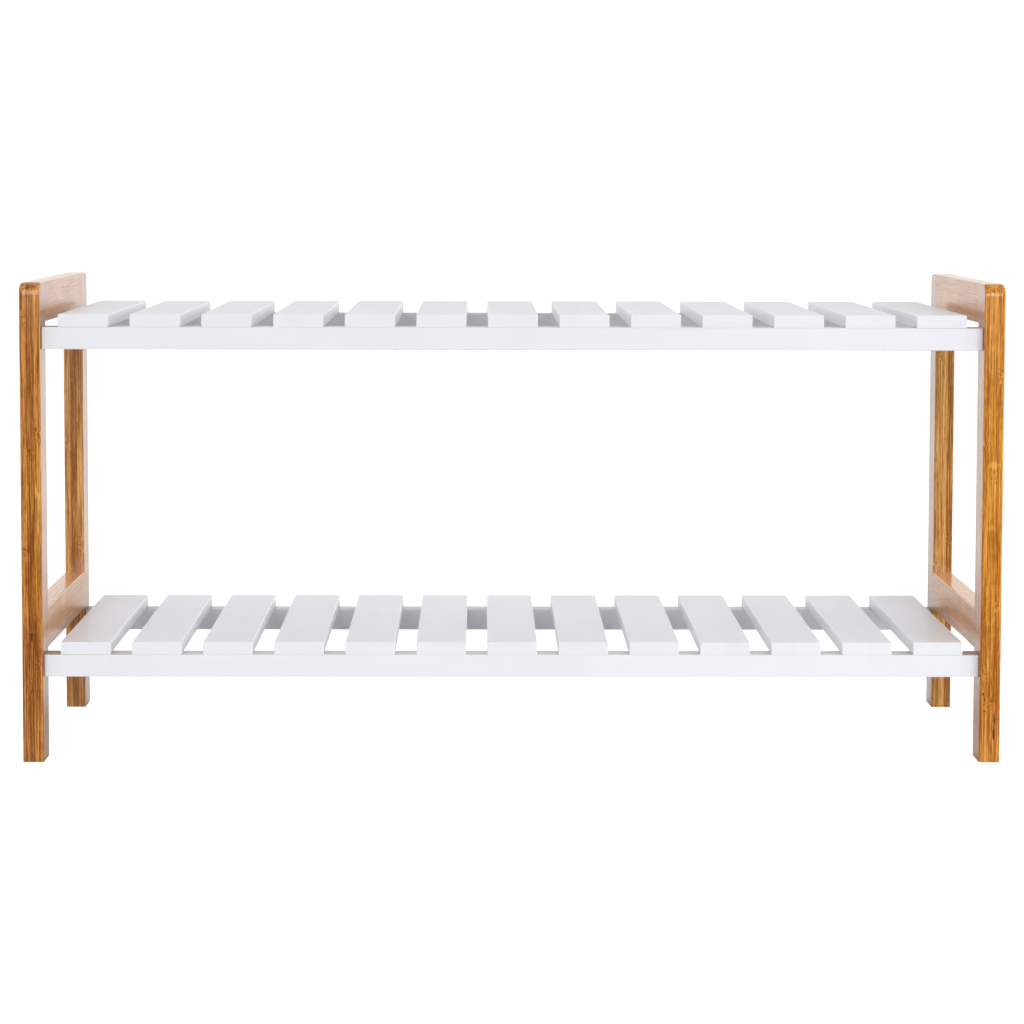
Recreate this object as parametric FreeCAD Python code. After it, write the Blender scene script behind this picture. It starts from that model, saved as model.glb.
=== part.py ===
import FreeCAD, Part
import math
import os

# Two-tier slatted entryway bench, in millimetres.
# Two bamboo side frames, each of two legs and two side rails, carry two white slatted shelves.
# Each shelf is two long rails with thirteen slats laid across them from front to back.
# The origin is on the floor under the middle of the bench. +X is to the right, the front faces -Y, +Z is up.

os.makedirs("parts", exist_ok=True)

Vector = FreeCAD.Vector
X_AXIS = Vector(1, 0, 0)
Y_AXIS = Vector(0, 1, 0)
Z_AXIS = Vector(0, 0, 1)

# ---- Driving dimensions ------------------------------------------------------------------------
BENCH_WIDTH = 700.0
BENCH_DEPTH = 270.0
BENCH_HEIGHT = 343.0

# Bamboo side frames
BAMBOO_THICKNESS = 15.0
LEG_DEPTH = 30.0
SIDE_RAIL_HEIGHT = 29.0
LOWER_SIDE_RAIL_BOTTOM = 78.5
TOP_CORNER_RADIUS = 8.5
OUTER_EDGE_RADIUS = 2.5
FRAME_EDGE_RADIUS = 1.0

# White shelves
SHELF_RAIL_DEPTH = 20.0
SHELF_RAIL_HEIGHT = 16.0
SHELF_SETBACK = 5.0
LOWER_SHELF_BOTTOM = 61.0
UPPER_SHELF_BOTTOM = 295.5
SLAT_COUNT = 13
SLAT_WIDTH = 35.5
SLAT_THICKNESS = 9.0
SLAT_END_MARGIN = 12.0
SHELF_EDGE_RADIUS = 0.5
RAIL_END_RADIUS = 1.2

# M6 x 40 countersunk bolt with a hexagon socket, through the leg into a cross nut in the shelf rail
BOLT_DIAMETER = 6.0
BOLT_LENGTH = 40.0
BOLT_HEAD_DIAMETER = 12.0
BOLT_HEAD_LAND = 0.5
BOLT_TIP_CHAMFER = 0.8
BOLT_SOCKET_FLATS = 4.0
BOLT_SOCKET_DEPTH = 2.6
BOLT_HOLE_DIAMETER = 6.6
BOLT_HOLE_RUNOUT = 1.0

# Cross nut, a steel barrel standing upright in the shelf rail and open to its underside
NUT_DIAMETER = 10.0
NUT_LENGTH = 12.0
NUT_FROM_RAIL_END = 20.0
NUT_EDGE_CHAMFER = 0.5
NUT_SLOT_WIDTH = 1.4
NUT_SLOT_DEPTH = 1.5
NUT_BORE_CLEARANCE = 0.1

# Fluted wooden dowels between the legs and the side rails, two in each joint
DOWEL_DIAMETER = 8.0
DOWEL_LENGTH = 30.0
DOWEL_SPACING = 14.0
DOWEL_CHAMFER = 1.0
DOWEL_FLUTE_COUNT = 12
DOWEL_FLUTE_RADIUS = 0.35
DOWEL_END_ROOM = 0.5

# 3.5 x 20 countersunk wood screws, driven up through the shelf rails into the slats
SCREW_LENGTH = 20.0
SCREW_HEAD_DIAMETER = 7.0
SCREW_HEAD_LAND = 0.4
SCREW_SHANK_DIAMETER = 3.2
SCREW_TIP_LENGTH = 4.0
SCREW_TIP_DIAMETER = 0.4
SCREW_SUNK = 1.0
SCREW_RECESS_SPAN = 3.6
SCREW_RECESS_WIDTH = 0.9
SCREW_RECESS_DEPTH = 1.3

SIDE_CLEARANCE = 0.05
CUT_MARGIN = 1.0
TOLERANCE = 0.001

# ---- Places worked out from them ---------------------------------------------------------------
HALF_WIDTH = BENCH_WIDTH / 2
HALF_DEPTH = BENCH_DEPTH / 2
INNER_FACE_X = HALF_WIDTH - BAMBOO_THICKNESS
LEG_INNER_Y = HALF_DEPTH - LEG_DEPTH
LEG_CENTRE_Y = HALF_DEPTH - LEG_DEPTH / 2
TOP_RAIL_BOTTOM = BENCH_HEIGHT - SIDE_RAIL_HEIGHT
LOWER_SIDE_RAIL_TOP = LOWER_SIDE_RAIL_BOTTOM + SIDE_RAIL_HEIGHT
FRAME_CENTRE_X = HALF_WIDTH - BAMBOO_THICKNESS / 2

SHELF_HALF_DEPTH = HALF_DEPTH - SHELF_SETBACK
SHELF_RAIL_CENTRE_Y = SHELF_HALF_DEPTH - SHELF_RAIL_DEPTH / 2
SHELF_LENGTH = 2 * INNER_FACE_X
FIRST_SLAT_X = -INNER_FACE_X + SLAT_END_MARGIN + SLAT_WIDTH / 2
SLAT_PITCH = -2 * FIRST_SLAT_X / (SLAT_COUNT - 1)
SLAT_CENTRES = [FIRST_SLAT_X + i * SLAT_PITCH for i in range(SLAT_COUNT)]
NUT_X = INNER_FACE_X - NUT_FROM_RAIL_END

SHELF_BOTTOMS = {"upper": UPPER_SHELF_BOTTOM, "lower": LOWER_SHELF_BOTTOM}
SIDE_RAIL_BOTTOMS = {"top": TOP_RAIL_BOTTOM, "lower": LOWER_SIDE_RAIL_BOTTOM}
SIDES = {"left": -1, "right": 1}
ENDS = {"front": -1, "rear": 1}


# ---- Helpers -----------------------------------------------------------------------------------
def box(x_range, y_range, z_range):
    """A box between two x, two y and two z values, each given low first."""
    sizes = [high - low for low, high in (x_range, y_range, z_range)]
    return Part.makeBox(*sizes, Vector(x_range[0], y_range[0], z_range[0]))


def centred_box(centre, sizes):
    """A box of the given sizes about a centre point."""
    ranges = [(c - size / 2, c + size / 2) for c, size in zip(centre, sizes)]
    return box(*ranges)


def turned(profile, start, direction):
    """A solid of revolution: (distance along the axis, radius) points turned about a line."""
    points = [Vector(radius, 0, along) for along, radius in profile]
    points = [Vector(0, 0, profile[0][0])] + points + [Vector(0, 0, profile[-1][0])]
    solid = Part.Face(Part.makePolygon(points + points[:1])).revolve(Vector(), Z_AXIS, 360)
    solid.Placement = FreeCAD.Placement(start, FreeCAD.Rotation(Z_AXIS, direction))
    return solid


def flat_at(edge, axis, value):
    """True when the whole edge lies in the plane where one coordinate has the given value."""
    bounds = edge.BoundBox
    low, high = (getattr(bounds, axis + end) for end in ("Min", "Max"))
    return abs(low - value) < TOLERANCE and abs(high - value) < TOLERANCE


def rounded(shape, radius, chosen):
    """The shape with each edge that the test picks rounded to the radius."""
    return shape.makeFillet(radius, [edge for edge in shape.Edges if chosen(edge)])


def export(name, solids):
    """Write one node: a single solid, or a group of identical separate solids."""
    shape = solids[0] if len(solids) == 1 else Part.makeCompound(solids)
    for solid in shape.Solids:
        assert solid.isValid() and solid.Volume > 0, name
    assert len(shape.Solids) == len(solids), name
    shape.exportStep("parts/" + name + ".step")


# ---- Fastener places ---------------------------------------------------------------------------
def bolt_places(side):
    """Where the shelf bolts of one side frame enter its outer face."""
    x = SIDES[side] * HALF_WIDTH
    return [
        Vector(x, ENDS[end] * LEG_CENTRE_Y, bottom + SHELF_RAIL_HEIGHT / 2)
        for bottom in SHELF_BOTTOMS.values()
        for end in ENDS
    ]


def dowel_places(side):
    """The middle of each dowel of one side frame: on a joint line, one above the other."""
    x = SIDES[side] * FRAME_CENTRE_X
    return [
        Vector(x, ENDS[end] * LEG_INNER_Y, bottom + SIDE_RAIL_HEIGHT / 2 + offset)
        for bottom in SIDE_RAIL_BOTTOMS.values()
        for end in ENDS
        for offset in (-DOWEL_SPACING / 2, DOWEL_SPACING / 2)
    ]


def screw_places(shelf, end):
    """Where the slat screws of one shelf rail enter its underside, at the crown of each head."""
    z = SHELF_BOTTOMS[shelf] + SCREW_SUNK
    return [Vector(x, ENDS[end] * SHELF_RAIL_CENTRE_Y, z) for x in SLAT_CENTRES]


# ---- Bolts, nuts, dowels and screws --------------------------------------------------------------
def head_profile(head_diameter, land, shank_diameter):
    """A countersunk head with a short straight rim, down to the shank, at 90 degrees."""
    head_radius = head_diameter / 2
    shank_radius = shank_diameter / 2
    return [(0, head_radius), (land, head_radius), (land + head_radius - shank_radius, shank_radius)]


def bolt(place, side):
    inward = X_AXIS * -SIDES[side]
    radius = BOLT_DIAMETER / 2
    profile = head_profile(BOLT_HEAD_DIAMETER, BOLT_HEAD_LAND, BOLT_DIAMETER)
    profile += [(BOLT_LENGTH - BOLT_TIP_CHAMFER, radius), (BOLT_LENGTH, radius - BOLT_TIP_CHAMFER)]
    across_corners = BOLT_SOCKET_FLATS / math.cos(math.pi / 6)
    corners = [
        Vector(0, across_corners / 2 * math.cos(turn), across_corners / 2 * math.sin(turn))
        for turn in (i * math.pi / 3 for i in range(6))
    ]
    socket = Part.Face(Part.makePolygon(corners + corners[:1])).extrude(inward * BOLT_SOCKET_DEPTH)
    socket.translate(place)
    return turned(profile, place, inward).cut(socket)


def bolt_bore(place, side):
    """The countersunk hole through the leg and on into the shelf rail, past the bolt's tip."""
    inward = X_AXIS * -SIDES[side]
    profile = head_profile(BOLT_HEAD_DIAMETER + 2 * SIDE_CLEARANCE, BOLT_HEAD_LAND, BOLT_HOLE_DIAMETER)
    profile.append((BOLT_LENGTH + BOLT_HOLE_RUNOUT, BOLT_HOLE_DIAMETER / 2))
    return turned(profile, place, inward)


def nut_centre(place, side):
    return Vector(SIDES[side] * NUT_X, place.y, place.z)


def cross_nut(place, side):
    centre = nut_centre(place, side)
    foot = centre - Z_AXIS * (NUT_LENGTH / 2)
    radius = NUT_DIAMETER / 2
    rim = radius - NUT_EDGE_CHAMFER
    profile = [(0, rim), (NUT_EDGE_CHAMFER, radius)]
    profile += [(NUT_LENGTH - NUT_EDGE_CHAMFER, radius), (NUT_LENGTH, rim)]
    thread = Part.makeCylinder(
        BOLT_DIAMETER / 2 + SIDE_CLEARANCE, 2 * NUT_DIAMETER, centre - X_AXIS * NUT_DIAMETER, X_AXIS
    )
    slot = centred_box(foot, (2 * NUT_DIAMETER, NUT_SLOT_WIDTH, 2 * NUT_SLOT_DEPTH))
    return turned(profile, foot, Z_AXIS).cut(thread).cut(slot)


def nut_bore(place, side):
    """The upright bore that the cross nut is pushed into from under the shelf rail."""
    centre = nut_centre(place, side)
    mouth = centre - Z_AXIS * SHELF_RAIL_HEIGHT
    depth = SHELF_RAIL_HEIGHT + NUT_LENGTH / 2 + NUT_BORE_CLEARANCE
    return Part.makeCylinder(NUT_DIAMETER / 2 + NUT_BORE_CLEARANCE, depth, mouth, Z_AXIS)


def dowel(place):
    start = place - Y_AXIS * (DOWEL_LENGTH / 2)
    radius = DOWEL_DIAMETER / 2
    tip = radius - DOWEL_CHAMFER
    profile = [(0, tip), (DOWEL_CHAMFER, radius), (DOWEL_LENGTH - DOWEL_CHAMFER, radius), (DOWEL_LENGTH, tip)]
    flutes = []
    for i in range(DOWEL_FLUTE_COUNT):
        turn = 2 * math.pi * i / DOWEL_FLUTE_COUNT
        foot = start + Vector(radius * math.cos(turn), 0, radius * math.sin(turn))
        flutes.append(Part.makeCylinder(DOWEL_FLUTE_RADIUS, DOWEL_LENGTH, foot, Y_AXIS))
    return turned(profile, start, Y_AXIS).cut(flutes)


def dowel_bore(place):
    """The pair of blind bores that meet on the joint line."""
    length = DOWEL_LENGTH + 2 * DOWEL_END_ROOM
    start = place - Y_AXIS * (length / 2)
    return Part.makeCylinder(DOWEL_DIAMETER / 2 + SIDE_CLEARANCE, length, start, Y_AXIS)


def screw(place):
    profile = head_profile(SCREW_HEAD_DIAMETER, SCREW_HEAD_LAND, SCREW_SHANK_DIAMETER)
    profile.append((SCREW_LENGTH - SCREW_TIP_LENGTH, SCREW_SHANK_DIAMETER / 2))
    profile.append((SCREW_LENGTH, SCREW_TIP_DIAMETER / 2))
    recess_arms = [
        centred_box(place, (SCREW_RECESS_SPAN, SCREW_RECESS_WIDTH, 2 * SCREW_RECESS_DEPTH)),
        centred_box(place, (SCREW_RECESS_WIDTH, SCREW_RECESS_SPAN, 2 * SCREW_RECESS_DEPTH)),
    ]
    return turned(profile, place, Z_AXIS).cut(recess_arms)


def screw_bore(place):
    """The countersunk hole through the rail and the blind pilot above it in the slat."""
    head = SCREW_HEAD_DIAMETER + 2 * SIDE_CLEARANCE
    shank = SCREW_SHANK_DIAMETER + 2 * SIDE_CLEARANCE
    profile = [(-2 * SCREW_SUNK, head / 2)] + head_profile(head, SCREW_HEAD_LAND, shank)
    profile.append((SCREW_LENGTH, shank / 2))
    return turned(profile, place, Z_AXIS)


# ---- Bamboo side frames ------------------------------------------------------------------------
def side_frame(side):
    """A whole side frame, sanded and with square-cut feet, before it is parted into legs and rails."""
    outer_x = SIDES[side] * HALF_WIDTH
    inner_x = SIDES[side] * INNER_FACE_X
    x_range = sorted((outer_x, inner_x))
    between_legs = (-LEG_INNER_Y, LEG_INNER_Y)
    frame = box(x_range, (-HALF_DEPTH, HALF_DEPTH), (0, BENCH_HEIGHT))
    frame = frame.cut(box(x_range, between_legs, (0, LOWER_SIDE_RAIL_BOTTOM)))
    frame = frame.cut(box(x_range, between_legs, (LOWER_SIDE_RAIL_TOP, TOP_RAIL_BOTTOM)))

    def top_corner(edge):
        return flat_at(edge, "Z", BENCH_HEIGHT) and abs(edge.CenterOfMass.y) > HALF_DEPTH - TOLERANCE

    def outer_rim(edge):
        bounds = edge.BoundBox
        on_rim = max(-bounds.YMin, bounds.YMax) > HALF_DEPTH - TOLERANCE
        return flat_at(edge, "X", outer_x) and on_rim and not flat_at(edge, "Z", 0)

    def other_edge(edge):
        bounds = edge.BoundBox
        in_opening = max(-bounds.YMin, bounds.YMax) < LEG_INNER_Y + TOLERANCE
        in_outer_face = flat_at(edge, "X", outer_x) and in_opening
        return (flat_at(edge, "X", inner_x) or in_outer_face) and not flat_at(edge, "Z", 0)

    frame = rounded(frame, TOP_CORNER_RADIUS, top_corner)
    frame = rounded(frame, OUTER_EDGE_RADIUS, outer_rim)
    return rounded(frame, FRAME_EDGE_RADIUS, other_edge)


def make_side(side):
    frame = side_frame(side)
    bores = [dowel_bore(place) for place in dowel_places(side)]
    bores += [bolt_bore(place, side) for place in bolt_places(side)]
    frame = frame.cut(bores)
    x_range = (-BENCH_WIDTH, BENCH_WIDTH)
    whole_height = (-BENCH_HEIGHT, 2 * BENCH_HEIGHT)
    for end, direction in ENDS.items():
        leg_range = sorted((direction * LEG_INNER_Y, direction * BENCH_DEPTH))
        leg = frame.common(box(x_range, leg_range, whole_height))
        export(side + "_" + end + "_leg", leg.Solids)
    for name, bottom in SIDE_RAIL_BOTTOMS.items():
        rail_range = (bottom - CUT_MARGIN, bottom + SIDE_RAIL_HEIGHT + CUT_MARGIN)
        rail = frame.common(box(x_range, (-LEG_INNER_Y, LEG_INNER_Y), rail_range))
        export(side + "_" + name + "_side_rail", rail.Solids)
    export(side + "_frame_dowels", [dowel(place) for place in dowel_places(side)])


# ---- White shelves -----------------------------------------------------------------------------
def shelf_rail(shelf, end):
    """A long rail, sharp along its outer top edge, where the slat ends finish flush with it."""
    bottom = SHELF_BOTTOMS[shelf]
    outer_y = ENDS[end] * SHELF_HALF_DEPTH
    inner_y = outer_y - ENDS[end] * SHELF_RAIL_DEPTH
    top = bottom + SHELF_RAIL_HEIGHT
    rail = box((-INNER_FACE_X, INNER_FACE_X), sorted((outer_y, inner_y)), (bottom, top))

    def end_edge(edge):
        at_end = abs(edge.CenterOfMass.x) > INNER_FACE_X - TOLERANCE
        return at_end and edge.BoundBox.ZLength > SHELF_RAIL_HEIGHT / 2

    def long_edge(edge):
        low_or_inner = flat_at(edge, "Z", bottom) or (flat_at(edge, "Z", top) and flat_at(edge, "Y", inner_y))
        return low_or_inner and edge.BoundBox.XLength > INNER_FACE_X

    rail = rounded(rail, RAIL_END_RADIUS, end_edge)
    rail = rounded(rail, SHELF_EDGE_RADIUS, long_edge)
    cuts = [screw_bore(place) for place in screw_places(shelf, end)]
    for side in SIDES:
        for place in bolt_places(side):
            if place.y * outer_y > 0 and bottom < place.z < top:
                cuts += [bolt_bore(place, side), nut_bore(place, side)]
    return rail.cut(cuts)


def slat(shelf, centre_x):
    """A slat with rounded top and side edges. Its lower end edges are sharp and flush with the rails."""
    bottom = SHELF_BOTTOMS[shelf] + SHELF_RAIL_HEIGHT
    top = bottom + SLAT_THICKNESS
    x_range = (centre_x - SLAT_WIDTH / 2, centre_x + SLAT_WIDTH / 2)
    body = box(x_range, (-SHELF_HALF_DEPTH, SHELF_HALF_DEPTH), (bottom, top))

    def visible_edge(edge):
        return not (flat_at(edge, "Z", bottom) and edge.BoundBox.XLength > SLAT_WIDTH / 2)

    body = rounded(body, SHELF_EDGE_RADIUS, visible_edge)
    places = screw_places(shelf, "front") + screw_places(shelf, "rear")
    return body.cut([screw_bore(place) for place in places if abs(place.x - centre_x) < TOLERANCE])


def make_shelf(shelf):
    for end in ENDS:
        export(shelf + "_shelf_" + end + "_rail", [shelf_rail(shelf, end)])
        screws = [screw(place) for place in screw_places(shelf, end)]
        export(shelf + "_shelf_" + end + "_slat_screws", screws)
    for number, centre_x in enumerate(SLAT_CENTRES, start=1):
        export(shelf + "_slat_" + str(number).zfill(2), [slat(shelf, centre_x)])


# ---- The whole bench ---------------------------------------------------------------------------
for side_name in SIDES:
    make_side(side_name)
for shelf_name in SHELF_BOTTOMS:
    make_shelf(shelf_name)
export("shelf_bolts", [bolt(place, side) for side in SIDES for place in bolt_places(side)])
export("shelf_bolt_nuts", [cross_nut(place, side) for side in SIDES for place in bolt_places(side)])
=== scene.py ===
import math

import bmesh
import bpy
from mathutils import Matrix, Vector


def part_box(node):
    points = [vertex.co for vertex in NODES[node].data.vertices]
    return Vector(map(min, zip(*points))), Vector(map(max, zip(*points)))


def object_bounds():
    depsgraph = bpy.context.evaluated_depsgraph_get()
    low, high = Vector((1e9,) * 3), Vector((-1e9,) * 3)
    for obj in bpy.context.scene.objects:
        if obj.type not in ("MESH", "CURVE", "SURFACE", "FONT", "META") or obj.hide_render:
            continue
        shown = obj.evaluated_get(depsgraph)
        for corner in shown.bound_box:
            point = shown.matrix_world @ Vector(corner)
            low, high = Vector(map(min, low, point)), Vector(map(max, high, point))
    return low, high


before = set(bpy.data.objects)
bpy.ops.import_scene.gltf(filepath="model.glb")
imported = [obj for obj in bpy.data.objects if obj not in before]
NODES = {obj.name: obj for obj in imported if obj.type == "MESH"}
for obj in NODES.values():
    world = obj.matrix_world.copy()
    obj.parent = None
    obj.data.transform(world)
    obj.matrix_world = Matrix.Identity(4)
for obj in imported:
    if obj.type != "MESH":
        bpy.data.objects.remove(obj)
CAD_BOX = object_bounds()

# The entryway bench: two lacquered bamboo side frames carrying two white slatted shelves.
# The CAD nodes keep their shapes. Each one gets a material worked out from its own coordinates.

MM = 0.001
WHITE = (1.0, 1.0, 1.0, 1.0)
NOISE_SPAN = (0.28, 0.72)

# ---- Places read from the frame ------------------------------------------------------------------
LEG_LOW, LEG_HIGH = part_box("left_front_leg")
_, RAIL_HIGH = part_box("left_top_side_rail")
FIRST_SLAT_LOW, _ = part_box("upper_slat_01")
SECOND_SLAT_LOW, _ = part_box("upper_slat_02")
SLAT_PITCH = (SECOND_SLAT_LOW.x - FIRST_SLAT_LOW.x) / MM
FRAME_THICKNESS = (LEG_HIGH.x - LEG_LOW.x) / MM
FRONT_FACE_Y = LEG_LOW.y
JOINT_Y = RAIL_HIGH.y / MM
SHELF_END = -LEG_HIGH.x / MM
SHELVES = ("upper", "lower")
BENCH_CENTRE = (CAD_BOX[0] + CAD_BOX[1]) / 2


# ---- Node trees ------------------------------------------------------------------------------------
class Tree:
    """Adds nodes to one material or world and wires them as they are made. Lengths are in millimetres."""

    def __init__(self, owner, shader="Principled BSDF", coordinates="Object", unit=MM):
        owner.use_nodes = True
        self.owner = owner
        self.nodes = owner.node_tree.nodes
        self.links = owner.node_tree.links
        self.shader = self.nodes[shader]
        place = self.add("ShaderNodeTexCoord").outputs[coordinates]
        parts = self.add("ShaderNodeSeparateXYZ", {"Vector": place}).outputs
        self.axis = {letter: self.scaled(parts[letter], 1 / unit) for letter in "XYZ"}

    def add(self, kind, inputs=None, **settings):
        node = self.nodes.new(kind)
        for key, value in settings.items():
            setattr(node, key, value)
        for key, value in (inputs or {}).items():
            self.put(node.inputs[key], value)
        return node

    def put(self, socket, value):
        if isinstance(value, bpy.types.NodeSocket):
            self.links.new(value, socket)
        else:
            socket.default_value = value

    def math(self, operation, *values, clamp=False):
        node = self.add("ShaderNodeMath", operation=operation, use_clamp=clamp)
        for socket, value in zip(node.inputs, values):
            self.put(socket, value)
        return node.outputs[0]

    def scaled(self, value, factor):
        return self.math("MULTIPLY", value, factor)

    def total(self, *values):
        result = values[0]
        for value in values[1:]:
            result = self.math("ADD", result, value)
        return result

    def clamped(self, value):
        return self.math("ADD", value, 0.0, clamp=True)

    def vector(self, x, y, z):
        return self.add("ShaderNodeCombineXYZ", {"X": x, "Y": y, "Z": z}).outputs[0]

    def noise(self, vector, detail=2.0, roughness=0.5):
        """Smooth noise from -0.5 to 0.5."""
        inputs = {"Vector": vector, "Scale": 1.0, "Detail": detail, "Roughness": roughness}
        raw = self.add("ShaderNodeTexNoise", inputs).outputs["Fac"]
        return self.ramp(raw, *NOISE_SPAN, -0.5, 0.5, smooth=False)

    def even_noise(self, scale, detail=2.0):
        """Noise that is the same size in every direction, with its scale in features per millimetre."""
        parts = [self.scaled(self.axis[letter], scale) for letter in "XYZ"]
        return self.noise(self.vector(*parts), detail)

    def random(self, *values):
        """A value from 0 to 1 that is the same wherever the given values are the same."""
        padded = list(values) + [0.0] * (3 - len(values))
        return self.add("ShaderNodeTexWhiteNoise", {"Vector": self.vector(*padded)}).outputs["Value"]

    def ramp(self, value, low, high, start=0.0, end=1.0, smooth=True):
        """Maps low..high to start..end, held level outside."""
        kind = "SMOOTHSTEP" if smooth else "LINEAR"
        inputs = {"Value": value, "From Min": low, "From Max": high, "To Min": start, "To Max": end}
        return self.add("ShaderNodeMapRange", inputs, interpolation_type=kind).outputs[0]

    def mix(self, factor, first, second):
        """The first colour at a factor of 0 and the second at 1. The node's colour sockets go by number."""
        inputs = {"Factor": factor, 6: first, 7: second}
        return self.add("ShaderNodeMix", inputs, data_type="RGBA").outputs[2]

    def bump(self, height, distance, strength):
        """A normal from a height map. The distance is in metres."""
        inputs = {"Height": height, "Distance": distance, "Strength": strength}
        return self.add("ShaderNodeBump", inputs).outputs[0]

    def finish(self, **inputs):
        """Wires the shader's own sockets. Names are written with underscores for spaces."""
        for key, value in inputs.items():
            self.put(self.shader.inputs[key.replace("_", " ")], value)
        return self.owner


def rgb(red, green, blue):
    """A colour from 0-255 display values, made linear for the shader."""
    levels = [level / 255 for level in (red, green, blue)]
    linear = [((level + 0.055) / 1.055) ** 2.4 if level > 0.04 else level / 12.92 for level in levels]
    return (*linear, 1.0)


# ---- Bamboo ----------------------------------------------------------------------------------------
LAYERS = 3
LAYER_THICKNESS = FRAME_THICKNESS / LAYERS
STRIP_WIDTH = 21.0
NODE_SPACING = 165.0
NODE_REACH = 8.0
FLAW_DEPTH = 4.0
BUMP_HEIGHT = 0.00005

# Tells the nodes of the legs, whose strips are wide along Y, from those of the rails
NODE_SEEDS = {"Y": 21.0, "Z": 34.0}

# Fibre patterns: features per millimetre, how many times longer than wide, and octaves of detail
BANDS = (0.42, 55.0, 2.0)
STREAKS = (1.35, 60.0, 3.0)
BUNDLES = (1.6, 12.0, 1.0)

# Threads: features per millimetre, how many times longer than wide, breadth, and their own seed
DARK_THREADS = (0.9, 130.0, 0.14, 31.0)
LIGHT_THREADS = (0.8, 130.0, 0.14, 57.0)

# How much each pattern darkens the wood
SHADES = {
    "bands": 0.40,
    "streaks": 1.70,
    "bundles": 0.65,
    "dark_threads": 0.70,
    "light_threads": -0.80,
    "mottle": 1.3,
    "ring": 0.4,
}
RIND_SHADE = 0.10
STRIP_SHADE = 0.16

PALE_FIBRE = rgb(246, 196, 112)
OLIVE_WOOD = rgb(168, 118, 30)
GLUE = rgb(96, 48, 14)
CRACK = rgb(44, 20, 6)
JOINT_SHADOW = rgb(84, 44, 18)


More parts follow.
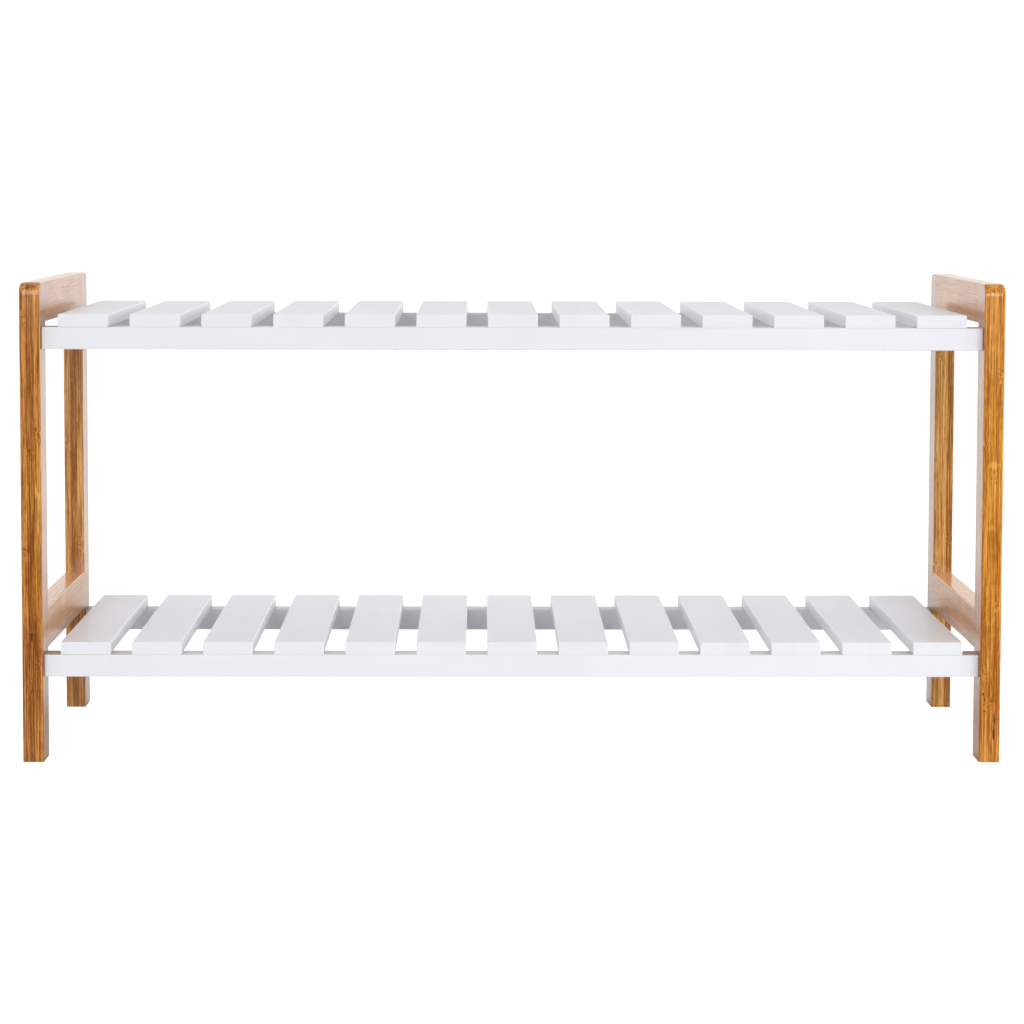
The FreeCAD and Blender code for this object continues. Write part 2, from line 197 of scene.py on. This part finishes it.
def bamboo(node, along, wide, seed, layer_tones, wood, figure=1.0, coat=1.0, marks=(), joint_line=False):
    """Strips of bamboo glued in layers across X, with the fibres along one axis, under clear lacquer.

    wood is the lightest and the darkest colour, and layer_tones gives how dark each layer is, from -X to +X.
    figure is how strongly the fibres show, and coat is how glossy the lacquer is. marks are the flaws in the
    front face, and for the legs a darker foot that is painted shade. joint_line adds the fine dark line where
    a rail meets a leg.
    """
    tree = Tree(bpy.data.materials.new("bamboo_" + node))
    length, width, across = tree.axis[along], tree.axis[wide], tree.axis["X"]
    low_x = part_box(node)[0].x / MM

    # The layers and their strips meet in lines that wander a little.
    wander = tree.noise(tree.vector(seed, tree.scaled(length, 0.012), tree.scaled(width, 0.02)), 1.0)
    wander = tree.scaled(wander, 0.5)
    layer_place = tree.scaled(tree.total(across, -low_x, wander), 1 / LAYER_THICKNESS)
    layer = tree.math("MINIMUM", tree.math("MAXIMUM", tree.math("FLOOR", layer_place), 0.0), LAYERS - 1.0)
    in_layer = tree.math("SUBTRACT", layer_place, layer, clamp=True)
    strip_shift = tree.scaled(tree.random(layer, seed, 3.0), STRIP_WIDTH)
    strip_place = tree.scaled(tree.total(width, wander, strip_shift), 1 / STRIP_WIDTH)
    strip = tree.math("FLOOR", strip_place)
    in_strip = tree.math("FRACT", strip_place)
    tone = layer_tones[0]
    for step in range(1, LAYERS):
        reached = tree.math("GREATER_THAN", layer, step - 0.5)
        tone = tree.total(tone, tree.scaled(reached, layer_tones[step] - layer_tones[step - 1]))
    tone = tree.total(tone, tree.scaled(tree.total(tree.random(layer, strip, seed), -0.5), STRIP_SHADE))

    # At each of the culm's nodes the fibres swirl, and the wood is mottled.
    node_shift = tree.scaled(tree.random(layer, strip, seed + 9.0), NODE_SPACING)
    node_place = tree.scaled(tree.total(length, node_shift), 1 / NODE_SPACING)
    node_strength = tree.random(tree.math("FLOOR", node_place), layer, seed + NODE_SEEDS[wide])
    from_node = tree.scaled(tree.total(tree.math("FRACT", node_place), -0.5), NODE_SPACING)
    nearness = tree.ramp(tree.math("ABSOLUTE", from_node), 0.5, NODE_REACH, 1.0, 0.0)
    nearness = tree.math("MULTIPLY", nearness, node_strength)
    swirl = tree.math("MULTIPLY", nearness, tree.even_noise(0.28))
    swirled = [tree.total(value, tree.scaled(swirl, reach)) for value, reach in ((across, 3.2), (width, 5.0))]

    # Fibres: broad bands, streaks, short dark bundles and thin threads, all drawn out along the length.
    def fibres(fineness, stretch, detail, offset=0.0):
        parts = [tree.scaled(value, fineness) for value in swirled]
        drawn = tree.total(tree.scaled(length, fineness / stretch), seed + offset)
        return tree.noise(tree.vector(*parts, drawn), detail, 0.6)

    def threads(fineness, stretch, breadth, offset):
        """Thin lines that follow the fibres and fade in and out."""
        off_line = tree.math("ABSOLUTE", fibres(fineness, stretch, 0.0, offset))
        line = tree.ramp(off_line, 0.0, breadth, 1.0, 0.0)
        return tree.math("MULTIPLY", line, tree.ramp(fibres(0.5, 20.0, 1.0, offset + 7.0), -0.1, 0.4))

    bands = fibres(*BANDS)
    streaks = fibres(*STREAKS)
    bundles = fibres(*BUNDLES)
    dark_threads = threads(*DARK_THREADS)
    light_threads = threads(*LIGHT_THREADS)
    rind = tree.ramp(in_layer, 0.0, 1.0, RIND_SHADE, -RIND_SHADE)
    mottle = tree.math("MULTIPLY", nearness, tree.even_noise(1.1, 3.0))
    ring_place = tree.total(from_node, tree.scaled(tree.even_noise(0.3), 2.4))
    ring = tree.ramp(tree.math("ABSOLUTE", ring_place), 0.2, 1.1, 1.0, 0.0)
    ring = tree.math("MULTIPLY", ring, tree.total(node_strength, -0.35))
    patterns = (bands, streaks, bundles, dark_threads, light_threads, mottle, ring)
    shades = [tree.scaled(pattern, weight) for pattern, weight in zip(patterns, SHADES.values())]
    shade = tree.total(tone, tree.scaled(tree.total(rind, *shades), figure))

    # Flaws, and the painted shade of the legs' feet: soft-edged spots just under the front face.
    depth = tree.total(tree.axis["Y"], -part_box(node)[0].y / MM)
    under_front = tree.ramp(depth, FLAW_DEPTH - 1.0, FLAW_DEPTH + 1.0, 1.0, 0.0)
    ragged = tree.total(tree.even_noise(0.9, 2.0), tree.scaled(streaks, 1.2))
    flaws_and_foot_shade = 0.0
    for from_low_x, from_floor, half_width, half_length, strength in marks:
        off_x = tree.scaled(tree.total(across, -low_x - from_low_x), 1 / half_width)
        off_z = tree.scaled(tree.total(length, -from_floor), 1 / half_length)
        squares = [tree.math("POWER", off, 2.0) for off in (off_x, off_z)]
        distance = tree.math("SQRT", tree.total(*squares))
        spot = tree.ramp(tree.total(distance, tree.scaled(ragged, 0.5)), 0.5, 1.1, strength, 0.0)
        flaws_and_foot_shade = tree.total(flaws_and_foot_shade, tree.math("MULTIPLY", spot, under_front))
    shade = tree.total(shade, flaws_and_foot_shade)

    # Thin glue lines between the strips and between the layers.
    layer_edge = tree.ramp(tree.math("PINGPONG", tree.math("FRACT", layer_place), 0.5), 0.0, 0.05, 1.0, 0.0)
    strip_edge = tree.ramp(tree.math("PINGPONG", in_strip, 0.5), 0.0, 0.012, 1.0, 0.0)
    glue = tree.math("MAXIMUM", layer_edge, strip_edge)

    colour = tree.mix(tree.clamped(shade), *wood)
    colour = tree.mix(tree.clamped(tree.scaled(shade, -1.2)), colour, PALE_FIBRE)
    hue = tree.total(tree.random(strip, layer, seed + 5.0), tree.scaled(bands, 0.8))
    colour = tree.mix(tree.scaled(tree.clamped(hue), 0.10), colour, OLIVE_WOOD)
    colour = tree.mix(tree.scaled(glue, 0.35), colour, GLUE)
    colour = tree.mix(tree.ramp(flaws_and_foot_shade, 0.7, 1.7), colour, CRACK)
    if joint_line:
        from_end = tree.math("SUBTRACT", JOINT_Y, tree.math("ABSOLUTE", tree.axis["Y"]))
        colour = tree.mix(tree.ramp(from_end, 0.05, 0.3, 0.6, 0.0), colour, JOINT_SHADOW)

    relief = tree.total(tree.scaled(streaks, 0.6), tree.scaled(bundles, 0.5), tree.scaled(glue, -0.5))
    sheen = tree.ramp(tree.total(bands, bundles), -0.6, 0.6, coat, 0.85 * coat)
    return tree.finish(
        Base_Color=colour,
        Roughness=tree.ramp(tree.total(streaks, bundles), -0.5, 0.5, 0.34, 0.46),
        Normal=tree.bump(relief, BUMP_HEIGHT, 0.5),
        Coat_Normal=tree.bump(tree.even_noise(0.05, 1.0), 0.6 * BUMP_HEIGHT, 0.2),
        Specular_IOR_Level=0.1,
        Coat_Weight=sheen,
        Coat_Roughness=0.16,
    )


# ---- White paint -----------------------------------------------------------------------------------
PAINT_TONES = ((0.84, 0.848, 0.895, 1.0), (0.80, 0.808, 0.86, 1.0))
# Painted shade on the rails' top faces, tinted brown like bounce from the bamboo, and how far from the
# shelf's ends it weakens
PAINTED_LEDGE_SHADE = rgb(168, 140, 128)
LEDGE_SHADE_FADE = (15.0, 80.0)


def white_paint(name, along, wide, seed, ledge=None):
    """White satin lacquer over planed wood, with the grain just showing through along one axis.

    ledge is the height of a top face that gets a painted shade, tinted brown like bounce from the bamboo,
    most of all at its ends.
    """
    tree = Tree(bpy.data.materials.new(name))
    length, width, height = tree.axis[along], tree.axis[wide], tree.axis["Z"]

    def drawn_out(fineness, stretch, detail):
        parts = [tree.scaled(width, fineness), tree.scaled(height, fineness)]
        drawn = tree.total(tree.scaled(length, fineness / stretch), seed)
        return tree.noise(tree.vector(*parts, drawn), detail, 0.6)

    grain = drawn_out(0.7, 60.0, 3.0)
    brushed = drawn_out(2.4, 80.0, 2.0)
    cloud = drawn_out(0.03, 2.0, 2.0)
    piece = tree.math("FLOOR", tree.scaled(tree.axis["X"], 1 / SLAT_PITCH))
    piece_tone = tree.random(piece, tree.math("FLOOR", tree.scaled(height, 0.01)), seed)
    tone = tree.total(tree.scaled(grain, 0.3), tree.scaled(cloud, 0.4), tree.scaled(piece_tone, 0.35), 0.3)
    colour = tree.mix(tree.clamped(tone), *PAINT_TONES)
    # Painted shade on the top face, browned like bounce from the bamboo beside it and strongest near the
    # shelf's ends
    if ledge is not None:
        near_top = tree.ramp(height, ledge / MM - 0.4, ledge / MM - 0.1)
        from_end = tree.math("SUBTRACT", SHELF_END, tree.math("ABSOLUTE", tree.axis["X"]))
        ledge_shade = tree.total(tree.ramp(from_end, *LEDGE_SHADE_FADE, 0.85, 0.3), tree.scaled(grain, 0.2))
        colour = tree.mix(tree.math("MULTIPLY", near_top, ledge_shade, clamp=True), colour, PAINTED_LEDGE_SHADE)
    orange_peel = tree.even_noise(0.8, 1.0)
    relief = tree.total(tree.scaled(grain, 0.6), tree.scaled(brushed, 0.3), tree.scaled(orange_peel, 0.3))
    return tree.finish(
        Base_Color=colour,
        Roughness=tree.ramp(tree.total(grain, brushed), -0.6, 0.6, 0.36, 0.46),
        Normal=tree.bump(relief, BUMP_HEIGHT, 0.4),
        Coat_Weight=0.15,
        Coat_Roughness=0.2,
    )


# ---- Metal and dowels ------------------------------------------------------------------------------
ZINC_TONES = (rgb(206, 209, 212), rgb(170, 172, 172))
BEECH_TONES = (rgb(214, 178, 132), rgb(176, 134, 90))


def zinc_steel():
    """Bright zinc plating with fine turning marks and a little dulling."""
    tree = Tree(bpy.data.materials.new("zinc_steel"))
    marks = tree.even_noise(9.0)
    return tree.finish(
        Base_Color=tree.mix(tree.ramp(tree.even_noise(1.6, 3.0), -0.5, 0.5), *ZINC_TONES),
        Metallic=1.0,
        Roughness=tree.ramp(marks, -0.5, 0.5, 0.24, 0.42),
        Normal=tree.bump(marks, 0.8 * BUMP_HEIGHT, 0.4),
    )


def dowel_wood():
    """Pale beech with short flecks along Y."""
    tree = Tree(bpy.data.materials.new("dowel_wood"))
    x, y, z = (tree.axis[letter] for letter in "XYZ")
    place = tree.vector(tree.scaled(x, 2.5), tree.scaled(y, 0.25), tree.scaled(z, 2.5))
    fleck = tree.noise(place, 3.0, 0.6)
    return tree.finish(
        Base_Color=tree.mix(tree.ramp(fleck, -0.4, 0.5), *BEECH_TONES),
        Roughness=tree.ramp(fleck, -0.5, 0.5, 0.6, 0.75),
        Normal=tree.bump(fleck, 2 * BUMP_HEIGHT, 0.5),
    )


# ---- Materials on the CAD nodes --------------------------------------------------------------------
def paint(node, material):
    """Gives a CAD node its material, in every slot that it has."""
    slots = NODES[node].material_slots
    assert len(slots) > 0, node
    for slot in slots:
        slot.material = material


# Each member's lightest and darkest wood, and how dark its three layers are, from -X to +X.
LEFT_WOOD = (rgb(217, 146, 66), rgb(124, 61, 3))
# The rear legs' wood is paler and greyer than the front legs': the bamboo with a painted sheen and painted
# light
LEFT_REAR_WOOD_AND_SHEEN = (rgb(210, 152, 93), rgb(137, 82, 33))
RIGHT_WOOD = (rgb(230, 158, 62), rgb(152, 78, 2))
# Paler and greyer like the left rear leg: a painted sheen and painted light over the bamboo
RIGHT_REAR_WOOD_AND_SHEEN = (rgb(208, 152, 85), rgb(139, 82, 26))
MEMBERS = {
    "left_front_leg": (LEFT_WOOD, (0.46, 0.80, 0.40)),
    "left_rear_leg": (LEFT_REAR_WOOD_AND_SHEEN, (0.26, 0.84, 0.50)),
    # The rails' layers are paler than the legs', the left lower rail's palest: painted light on their inner
    # faces
    "left_top_side_rail": (LEFT_WOOD, (0.24, 0.32, 0.26)),
    "left_lower_side_rail": (LEFT_WOOD, (0.06, 0.14, 0.06)),
    "right_front_leg": (RIGHT_WOOD, (0.44, 0.44, 0.55)),
    "right_rear_leg": (RIGHT_REAR_WOOD_AND_SHEEN, (0.50, 0.12, 0.76)),
    "right_top_side_rail": (RIGHT_WOOD, (0.30, 0.34, 0.32)),
    "right_lower_side_rail": (RIGHT_WOOD, (0.26, 0.30, 0.28)),
}
# Flaws in the legs' front faces, and a painted shade on their feet: place from the leg's -X face and from the
# floor, half width and half length in millimetres, and how much they darken the wood. A negative strength
# lightens it. The first one of each leg darkens the foot: painted shade towards the floor, not a flaw.
FLAWS_AND_FOOT_SHADE = {
    "left_front_leg": (
        (7.5, 10.0, 60.0, 120.0, 0.20),
        (6.6, 262.0, 3.2, 11.0, 0.18),
        (11.2, 194.0, 1.0, 5.0, -0.7),
        (13.0, 191.0, 0.8, 4.0, -0.6),
        (7.4, 92.0, 2.4, 0.6, 1.3),
        (7.2, 90.0, 0.6, 2.4, 1.3),
    ),
    "right_front_leg": (
        (7.5, 10.0, 60.0, 120.0, 0.30),
        (10.5, 31.0, 0.5, 4.5, 2.2),
        (10.2, 21.0, 0.6, 4.5, 2.4),
        (2.5, 49.5, 0.5, 1.3, 1.2),
        (3.4, 45.5, 0.4, 1.6, 1.3),
        (3.0, 42.0, 0.5, 1.0, 0.9),
        (3.4, 37.0, 0.7, 0.7, 2.2),
        (9.2, 45.0, 2.0, 2.2, 0.50),
        (8.0, 214.0, 4.5, 3.0, -0.45),
        (6.5, 169.0, 4.0, 3.0, -0.35),
    ),
    "left_rear_leg": ((7.5, 10.0, 60.0, 120.0, 0.17),),
    "right_rear_leg": ((7.5, 10.0, 60.0, 120.0, 0.12),),
}
for seed, (node, (wood, layer_tones)) in enumerate(MEMBERS.items(), start=1):
    if node.endswith("_leg"):
        paint(node, bamboo(node, "Z", "Y", seed, layer_tones, wood, marks=FLAWS_AND_FOOT_SHADE[node]))
    else:
        rail_look = {"figure": 0.45, "coat": 0.85, "joint_line": True}
        paint(node, bamboo(node, "Y", "Z", seed, layer_tones, wood, **rail_look))

SLAT_PAINT = white_paint("white_slat", "Y", "X", 1.0)
RAIL_PAINT = {}
for shelf in SHELVES:
    rail_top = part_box(shelf + "_shelf_front_rail")[1].z
    RAIL_PAINT[shelf] = white_paint("white_rail_" + shelf, "X", "Y", 5.0, ledge=rail_top)
STEEL = zinc_steel()
DOWEL = dowel_wood()
for node in NODES:
    if "_slat_screws" in node or node.startswith("shelf_bolt"):
        paint(node, STEEL)
    elif "_slat_" in node:
        paint(node, SLAT_PAINT)
    elif "_shelf_" in node:
        paint(node, RAIL_PAINT[node.split("_")[0]])
    elif node.endswith("_dowels"):
        paint(node, DOWEL)


# ---- Studio ----------------------------------------------------------------------------------------
COVE_RADIUS = 9.0
COVE_BEND = 3.0
COVE_TOP = 9.0
BEND_STEPS = 12
ROUND_STEPS = 96
COVE_TONE = 0.30
COVE_GLOW = 1.0
CARD_RADIUS = 1.0
CARD_DROP = 0.0005
CARD_FRONT_TONE = 0.32
CARD_BACK_TONE = 0.65
CARD_GLOW = 0.26

# The sky's strength in each direction, and the spans of the direction's own X, Y or Z over which it changes
FRONT_WORLD = 0.10
BACK_WORLD = 1.02
ABOVE_WORLD = 0.69
BELOW_WORLD = 0.8
HORIZON_WORLD = 1.2
SIDE_WORLD = 1.1
DEPTH_SPAN = (-0.75, 0.15)
ABOVE_SPAN = (0.12, 0.75)
BELOW_SPAN = (-0.25, -0.03)
SIDE_SPAN = (0.25, 0.85)
HORIZON_Z = 0.08
HORIZON_SPAN = (0.02, 0.10)

CAMERA_SIDE = -0.0234
CAMERA_DISTANCE = 2.2415
CAMERA_HEIGHT = 0.4143
CAMERA_YAW = -0.0102
CAMERA_PITCH = -0.0781
CAMERA_ROLL = -0.0021
CAMERA_LENS = 111.23
CAMERA_SHIFT_Y = -0.0801


# Each soft box: place, width and height in metres, power in watts, and whether glossy faces mirror it
SOFT_BOXES = {
    "key_box": ((2.2, -2.45, 1.0), (1.6, 1.5), 44.0, False),
    "fill_box": ((-2.0, -2.45, 1.2), (1.6, 1.8), 21.0, False),
    "right_box": ((2.7, -0.7, 0.5), (2.4, 0.8), 26.0, False),
    "left_box": ((-2.7, -0.7, 0.5), (2.4, 0.8), 11.0, False),
    "left_strip": ((-0.78, -3.1, 1.45), (0.5, 2.4), 20.0, True),
    "right_strip": ((0.78, -3.1, 1.10), (0.5, 1.6), 14.0, True),
}


def turned(name, profile):
    """A surface made by turning a profile of (radius, height) points about the Z axis."""
    outline = bmesh.new()
    points = [outline.verts.new((radius, 0.0, height)) for radius, height in profile]
    edges = [outline.edges.new(pair) for pair in zip(points, points[1:])]
    full_turn = {"cent": (0, 0, 0), "axis": (0, 0, 1), "angle": 2 * math.pi, "steps": ROUND_STEPS}
    bmesh.ops.spin(outline, geom=points + edges, **full_turn)
    bmesh.ops.remove_doubles(outline, verts=outline.verts, dist=MM)
    bmesh.ops.recalc_face_normals(outline, faces=outline.faces)
    mesh = bpy.data.meshes.new(name)
    outline.to_mesh(mesh)
    outline.free()
    mesh.shade_smooth()
    surface = bpy.data.objects.new(name, mesh)
    bpy.context.scene.collection.objects.link(surface)
    return surface


def paper(name, front_tone, back_tone, front_glow, back_glow):
    """Matt paper with a faint mottle, lit from within. Its tone and its glow change from front to back."""
    tree = Tree(bpy.data.materials.new(name))
    mottle = tree.scaled(tree.even_noise(0.05, 3.0), 0.03)
    tone = tree.ramp(tree.axis["Y"], 3 * FRONT_FACE_Y / MM, FRONT_FACE_Y / MM, front_tone, back_tone)
    tone = tree.total(tone, mottle)
    colour = tree.vector(tone, tone, tone)
    glow = tree.ramp(tree.axis["Y"], 0.0, -2 * FRONT_FACE_Y / MM, front_glow, back_glow)
    return tree.finish(Base_Color=colour, Roughness=0.9, Emission_Color=WHITE, Emission_Strength=glow)


def make_floor():
    """A seamless white cove that only the camera sees, and a grey card on it that only lights the bench."""
    profile = [(0.0, 0.0)]
    for step in range(BEND_STEPS + 1):
        turn = step / BEND_STEPS * math.pi / 2
        out, up = math.sin(turn), 1 - math.cos(turn)
        profile.append((COVE_RADIUS - COVE_BEND + COVE_BEND * out, COVE_BEND * up))
    profile.append((COVE_RADIUS, COVE_TOP))
    cove = turned("cove", profile)
    cove.data.materials.append(paper("cove_paper", COVE_TONE, COVE_TONE, COVE_GLOW, COVE_GLOW))
    cove.visible_diffuse = cove.visible_glossy = cove.visible_shadow = False
    card = turned("card", [(0.0, -CARD_DROP), (CARD_RADIUS, -CARD_DROP)])
    card.data.materials.append(paper("card_paper", CARD_FRONT_TONE, CARD_BACK_TONE, 0.0, CARD_GLOW))
    card.visible_camera = False


def make_world():
    """The light of a white studio: bright low down behind the bench, and dim above and behind the camera."""
    world = bpy.data.worlds.new("studio")
    tree = Tree(world, "Background", "Generated", unit=1.0)
    depth = tree.ramp(tree.axis["Y"], *DEPTH_SPAN, FRONT_WORLD, BACK_WORLD)
    above = tree.ramp(tree.axis["Z"], *ABOVE_SPAN, 1.0, ABOVE_WORLD)
    from_horizon = tree.math("ABSOLUTE", tree.total(tree.axis["Z"], -HORIZON_Z))
    horizon = tree.ramp(from_horizon, *HORIZON_SPAN, HORIZON_WORLD, 1.0)
    below = tree.ramp(tree.axis["Z"], *BELOW_SPAN, BELOW_WORLD, 1.0)
    sides = tree.ramp(tree.math("ABSOLUTE", tree.axis["X"]), *SIDE_SPAN, 1.0, SIDE_WORLD)
    strength = depth
    for factor in (above, below, sides, horizon):
        strength = tree.math("MULTIPLY", strength, factor)
    bpy.context.scene.world = tree.finish(Color=WHITE, Strength=strength)


def soft_light(name, place, size, power, mirrored):
    """A soft box turned towards the bench. Unless it is mirrored, glossy faces don't reflect its shape."""
    data = bpy.data.lights.new(name, "AREA")
    data.shape = "RECTANGLE"
    data.size, data.size_y = size
    data.energy = power
    light = bpy.data.objects.new(name, data)
    light.location = place
    light.visible_camera = False
    light.visible_glossy = mirrored
    light.rotation_euler = (BENCH_CENTRE - light.location).to_track_quat("-Z", "Y").to_euler()
    bpy.context.scene.collection.objects.link(light)


def make_camera():
    data = bpy.data.cameras.new("camera")
    data.sensor_width = 36.0
    data.lens = CAMERA_LENS
    data.shift_y = CAMERA_SHIFT_Y
    data.clip_start, data.clip_end = 0.05, 100.0
    camera = bpy.data.objects.new("camera", data)
    turn = Matrix.Rotation(CAMERA_YAW, 4, "Z") @ Matrix.Rotation(CAMERA_PITCH, 4, "X")
    turn = turn @ Matrix.Rotation(CAMERA_ROLL, 4, "Y") @ Matrix.Rotation(math.pi / 2, 4, "X")
    place = Vector((CAMERA_SIDE, FRONT_FACE_Y - CAMERA_DISTANCE, CAMERA_HEIGHT))
    camera.matrix_world = Matrix.Translation(place) @ turn
    bpy.context.scene.collection.objects.link(camera)
    bpy.context.scene.camera = camera


make_floor()
make_world()
make_camera()
for name, light_settings in SOFT_BOXES.items():
    soft_light(name, *light_settings)
bpy.context.scene.view_settings.view_transform = "Standard"
